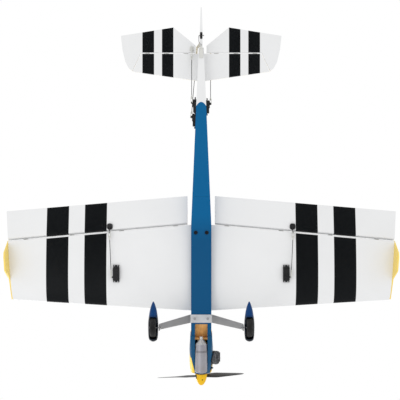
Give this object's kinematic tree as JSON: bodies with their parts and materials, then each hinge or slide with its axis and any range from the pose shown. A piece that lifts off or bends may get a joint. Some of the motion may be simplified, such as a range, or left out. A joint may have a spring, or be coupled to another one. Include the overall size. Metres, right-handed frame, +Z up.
{
  "type": "radio-controlled aeroplane",
  "caption": "Radio-controlled sport aerobatic model aeroplane with a glow engine, hinged control surfaces worked by servos and pushrods, and a tail-dragger undercarriage.",
  "frame": {"origin": "on the ground under the middle of the aeroplane's bounding box, standing on its three wheels", "axes": "+X towards its left wing tip, +Y aft towards the tail, nose towards -Y, +Z up"},
  "size_m": [1.22, 1.1832, 0.2637],
  "materials": {
    "aluminium": "brushed",
    "black_plastic": "moulded",
    "blue_film": "gloss film covering",
    "brass": "plain",
    "canopy": "smoked, gloss",
    "dark_aluminium": "cast, dark",
    "fuel_tank": "translucent",
    "grey_plastic": "moulded",
    "plywood": "bare",
    "steel": "bright",
    "tyre_rubber": "matte",
    "white_film": "satin film covering",
    "white_plastic": "moulded nylon",
    "yellow_film": "gloss film covering",
    "yellow_paint": "gloss paint"
  },
  "bodies": {
    "root": {"wing_frame": "plywood", "fixed_hinges": "steel", "aileron_servos": "black_plastic", "screws_and_bolts": "steel", "tip_plates": "yellow_film", "wing_skin": "white_film", "belly_pan": "blue_film", "fuselage_formers": "plywood", "canopy": "canopy", "stabilizer": "white_film", "fin": "white_film", "fuselage_shell": "blue_film", "body_servos": "black_plastic", "tail_wheel_bracket": "grey_plastic", "landing_gear": "aluminium", "wheel_axles": "steel", "wheel_pants": "blue_film", "crankcase": "aluminium", "engine_mount": "grey_plastic", "cylinder": "dark_aluminium", "cylinder_head": "dark_aluminium", "carburettor": "dark_aluminium", "muffler": "aluminium", "cowl": "blue_film", "fuel_tank": "fuel_tank", "battery": "yellow_film", "receiver": "black_plastic"},
    "left_aileron": {"left_aileron": "white_film", "left_aileron_fittings": "grey_plastic"},
    "left_aileron_servo_arm": {"left_aileron_servo_arm": "black_plastic"},
    "left_aileron_pushrod": {"left_aileron_pushrod": "steel"},
    "right_aileron": {"right_aileron": "white_film", "right_aileron_fittings": "grey_plastic"},
    "right_aileron_servo_arm": {"right_aileron_servo_arm": "black_plastic"},
    "right_aileron_pushrod": {"right_aileron_pushrod": "steel"},
    "left_elevator": {"left_elevator": "white_film", "left_elevator_fittings": "grey_plastic"},
    "left_elevator_servo_arm": {"left_elevator_servo_arm": "black_plastic"},
    "left_elevator_pushrod": {"left_elevator_pushrod": "steel"},
    "right_elevator": {"right_elevator": "white_film", "right_elevator_fittings": "grey_plastic"},
    "right_elevator_servo_arm": {"right_elevator_servo_arm": "black_plastic"},
    "right_elevator_pushrod": {"right_elevator_pushrod": "steel"},
    "rudder": {"rudder": "white_film", "rudder_fittings": "grey_plastic"},
    "rudder_servo_arm": {"rudder_servo_arm": "black_plastic"},
    "rudder_pushrod": {"rudder_pushrod": "steel"},
    "tail_wheel_wire": {"tail_wheel_wire": "steel"},
    "tail_wheel": {"tail_wheel": "tyre_rubber"},
    "propeller": {"propeller": "grey_plastic", "spinner": "yellow_paint", "crankshaft": "steel", "prop_hardware": "steel"},
    "left_wheel": {"left_tyre": "tyre_rubber", "left_wheel_hub": "white_plastic"},
    "right_wheel": {"right_tyre": "tyre_rubber", "right_wheel_hub": "white_plastic"},
    "throttle_barrel": {"throttle_barrel": "brass"},
    "throttle_servo_arm": {"throttle_servo_arm": "black_plastic"},
    "throttle_pushrod": {"throttle_pushrod": "steel"}
  },
  "joints": [
    {"name": "left_aileron_hinge", "type": "hinge", "parent": "root", "child": "left_aileron", "pos_m": [0.285, -0.11572, 0.14336], "axis": [0.996, -0.0878, 0.0139], "range_deg": [-15, 15]},
    {"name": "left_aileron_servo_shaft", "type": "hinge", "parent": "root", "child": "left_aileron_servo_arm", "pos_m": [0.264, -0.25823, 0.12927], "axis": [0, 0.1567, 0.9877], "range_deg": [-26.21, 26.21]},
    {"name": "left_aileron_rod_end", "type": "hinge", "parent": "left_aileron_servo_arm", "child": "left_aileron_pushrod", "pos_m": [0.278, -0.25841, 0.12819], "axis": [0, 0.1567, 0.9877], "range_deg": [-26.21, 26.21]},
    {"name": "right_aileron_hinge", "type": "hinge", "parent": "root", "child": "right_aileron", "pos_m": [-0.285, -0.11572, 0.14336], "axis": [0.996, 0.0878, -0.0139], "range_deg": [-15, 15]},
    {"name": "right_aileron_servo_shaft", "type": "hinge", "parent": "root", "child": "right_aileron_servo_arm", "pos_m": [-0.264, -0.25823, 0.12927], "axis": [0, 0.1567, 0.9877], "range_deg": [-26.21, 26.21]},
    {"name": "right_aileron_rod_end", "type": "hinge", "parent": "right_aileron_servo_arm", "child": "right_aileron_pushrod", "pos_m": [-0.278, -0.25841, 0.12819], "axis": [0, 0.1567, 0.9877], "range_deg": [-26.21, 26.21]},
    {"name": "left_elevator_hinge", "type": "hinge", "parent": "root", "child": "left_elevator", "pos_m": [0.1, 0.44528, 0.07968], "axis": [1, 0, 0], "range_deg": [-25, 25]},
    {"name": "left_elevator_servo_shaft", "type": "hinge", "parent": "root", "child": "left_elevator_servo_arm", "pos_m": [0.02993, 0.28535, 0.08378], "axis": [1, 0, 0], "range_deg": [-25, 25]},
    {"name": "left_elevator_rod_end", "type": "hinge", "parent": "left_elevator_servo_arm", "child": "left_elevator_pushrod", "pos_m": [0.02993, 0.28316, 0.06996], "axis": [1, 0, 0], "range_deg": [-25, 25]},
    {"name": "right_elevator_hinge", "type": "hinge", "parent": "root", "child": "right_elevator", "pos_m": [-0.1, 0.44528, 0.07968], "axis": [1, 0, 0], "range_deg": [-25, 25]},
    {"name": "right_elevator_servo_shaft", "type": "hinge", "parent": "root", "child": "right_elevator_servo_arm", "pos_m": [-0.02993, 0.28974, 0.11144], "axis": [1, 0, 0], "range_deg": [-25, 25]},
    {"name": "right_elevator_rod_end", "type": "hinge", "parent": "right_elevator_servo_arm", "child": "right_elevator_pushrod", "pos_m": [-0.02993, 0.29193, 0.12527], "axis": [1, 0, 0], "range_deg": [-25, 25]},
    {"name": "rudder_hinge", "type": "hinge", "parent": "root", "child": "rudder", "pos_m": [0, 0.47051, 0.12124], "axis": [0, 0.1567, 0.9877], "range_deg": [-30, 30]},
    {"name": "rudder_servo_shaft", "type": "hinge", "parent": "root", "child": "rudder_servo_arm", "pos_m": [0.0317, 0.24794, 0.11604], "axis": [1, 0, 0], "range_deg": [-30, 30]},
    {"name": "rudder_rod_end", "type": "hinge", "parent": "rudder_servo_arm", "child": "rudder_pushrod", "pos_m": [0.0317, 0.25014, 0.12987], "axis": [1, 0, 0], "range_deg": [-30, 30]},
    {"name": "tail_wheel_steering", "type": "hinge", "parent": "root", "child": "tail_wheel_wire", "pos_m": [0, 0.4574, 0.03864], "axis": [0, 0.1567, 0.9877], "range_deg": [-30, 30]},
    {"name": "tail_wheel_spin", "type": "hinge", "parent": "tail_wheel_wire", "child": "tail_wheel", "pos_m": [0, 0.47926, 0.0105], "axis": [1, 0, 0], "continuous": true},
    {"name": "propeller_spin", "type": "hinge", "parent": "root", "child": "propeller", "pos_m": [0, -0.56179, 0.22626], "axis": [0, -0.9877, 0.1567], "continuous": true},
    {"name": "left_wheel_spin", "type": "hinge", "parent": "root", "child": "left_wheel", "pos_m": [0.142, -0.41293, 0.0285], "axis": [1, 0, 0], "continuous": true},
    {"name": "right_wheel_spin", "type": "hinge", "parent": "root", "child": "right_wheel", "pos_m": [-0.142, -0.41293, 0.0285], "axis": [1, 0, 0], "continuous": true},
    {"name": "throttle_barrel_turn", "type": "hinge", "parent": "root", "child": "throttle_barrel", "pos_m": [-0.01819, -0.53578, 0.21151], "axis": [0.5, -0.1357, -0.8553], "range_deg": [-25, 25]},
    {"name": "throttle_servo_shaft", "type": "hinge", "parent": "root", "child": "throttle_servo_arm", "pos_m": [-0.0141, -0.10659, 0.17886], "axis": [1, 0, 0], "range_deg": [-21.93, 21.93]},
    {"name": "throttle_rod_end", "type": "hinge", "parent": "throttle_servo_arm", "child": "throttle_pushrod", "pos_m": [-0.0141, -0.1044, 0.19269], "axis": [1, 0, 0], "range_deg": [-21.93, 21.93]}
  ],
  "couplings": [
    {"joint": "right_aileron_hinge", "follows": "left_aileron_hinge", "ratio": -1},
    {"joint": "left_aileron_servo_shaft", "follows": "left_aileron_hinge", "ratio": 1.7143},
    {"joint": "left_aileron_rod_end", "follows": "left_aileron_hinge", "ratio": -1.7143},
    {"joint": "right_aileron_servo_shaft", "follows": "left_aileron_hinge", "ratio": 1.7143},
    {"joint": "right_aileron_rod_end", "follows": "left_aileron_hinge", "ratio": -1.7143},
    {"joint": "right_elevator_hinge", "follows": "left_elevator_hinge", "ratio": 1},
    {"joint": "left_elevator_servo_shaft", "follows": "left_elevator_hinge", "ratio": 1},
    {"joint": "left_elevator_rod_end", "follows": "left_elevator_hinge", "ratio": -1},
    {"joint": "right_elevator_servo_shaft", "follows": "left_elevator_hinge", "ratio": 1},
    {"joint": "right_elevator_rod_end", "follows": "left_elevator_hinge", "ratio": -1},
    {"joint": "rudder_servo_shaft", "follows": "rudder_hinge", "ratio": -1},
    {"joint": "rudder_rod_end", "follows": "rudder_hinge", "ratio": 1},
    {"joint": "tail_wheel_steering", "follows": "rudder_hinge", "ratio": 1},
    {"joint": "throttle_servo_shaft", "follows": "throttle_barrel_turn", "ratio": 0.85714},
    {"joint": "throttle_rod_end", "follows": "throttle_barrel_turn", "ratio": -0.85714}
  ]
}
